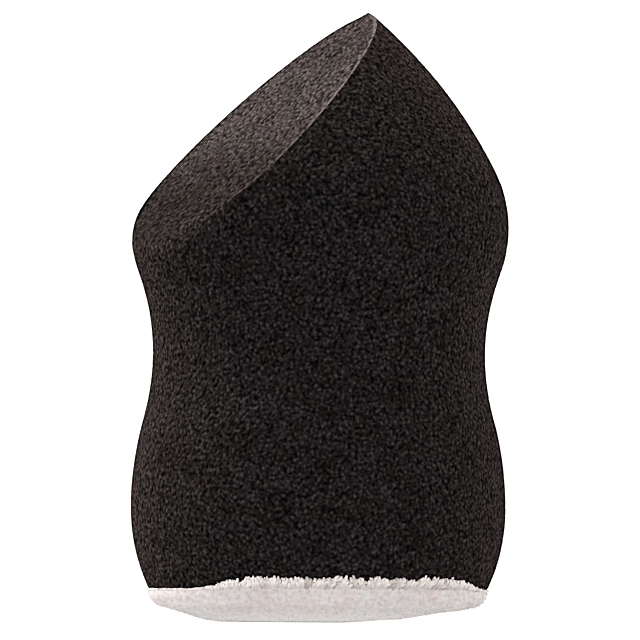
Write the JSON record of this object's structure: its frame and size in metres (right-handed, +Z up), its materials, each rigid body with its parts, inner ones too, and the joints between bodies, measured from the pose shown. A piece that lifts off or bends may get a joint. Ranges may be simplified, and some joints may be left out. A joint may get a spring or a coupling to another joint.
{
  "type": "makeup sponge",
  "caption": "Waisted black foam makeup sponge with a slanted flat face cut across its tip and a pale plush puff pad bonded to its foot.",
  "frame": {"origin": "middle of the flat spot on which the plush pad stands, on the axis that the foam is turned about", "axes": "+Z up along the axis from the pad to the tip; -Y the side that the slanted face looks towards; +X to the right of someone facing the slanted face"},
  "size_m": [0.038, 0.0379, 0.0614],
  "materials": {
    "foam": "matte black fine-celled polyurethane foam, warm grey and open-celled on the cut face",
    "adhesive": "thin milky hot-melt film",
    "ground_cloth": "fine knitted polyester ground cloth",
    "plush": "dense short polyester microfibre pile, pale pinkish grey"
  },
  "bodies": {
    "root": {"foam_body": "foam", "adhesive_film": "adhesive", "ground_cloth": "ground_cloth", "plush_pile": "plush"}
  },
  "joints": []
}
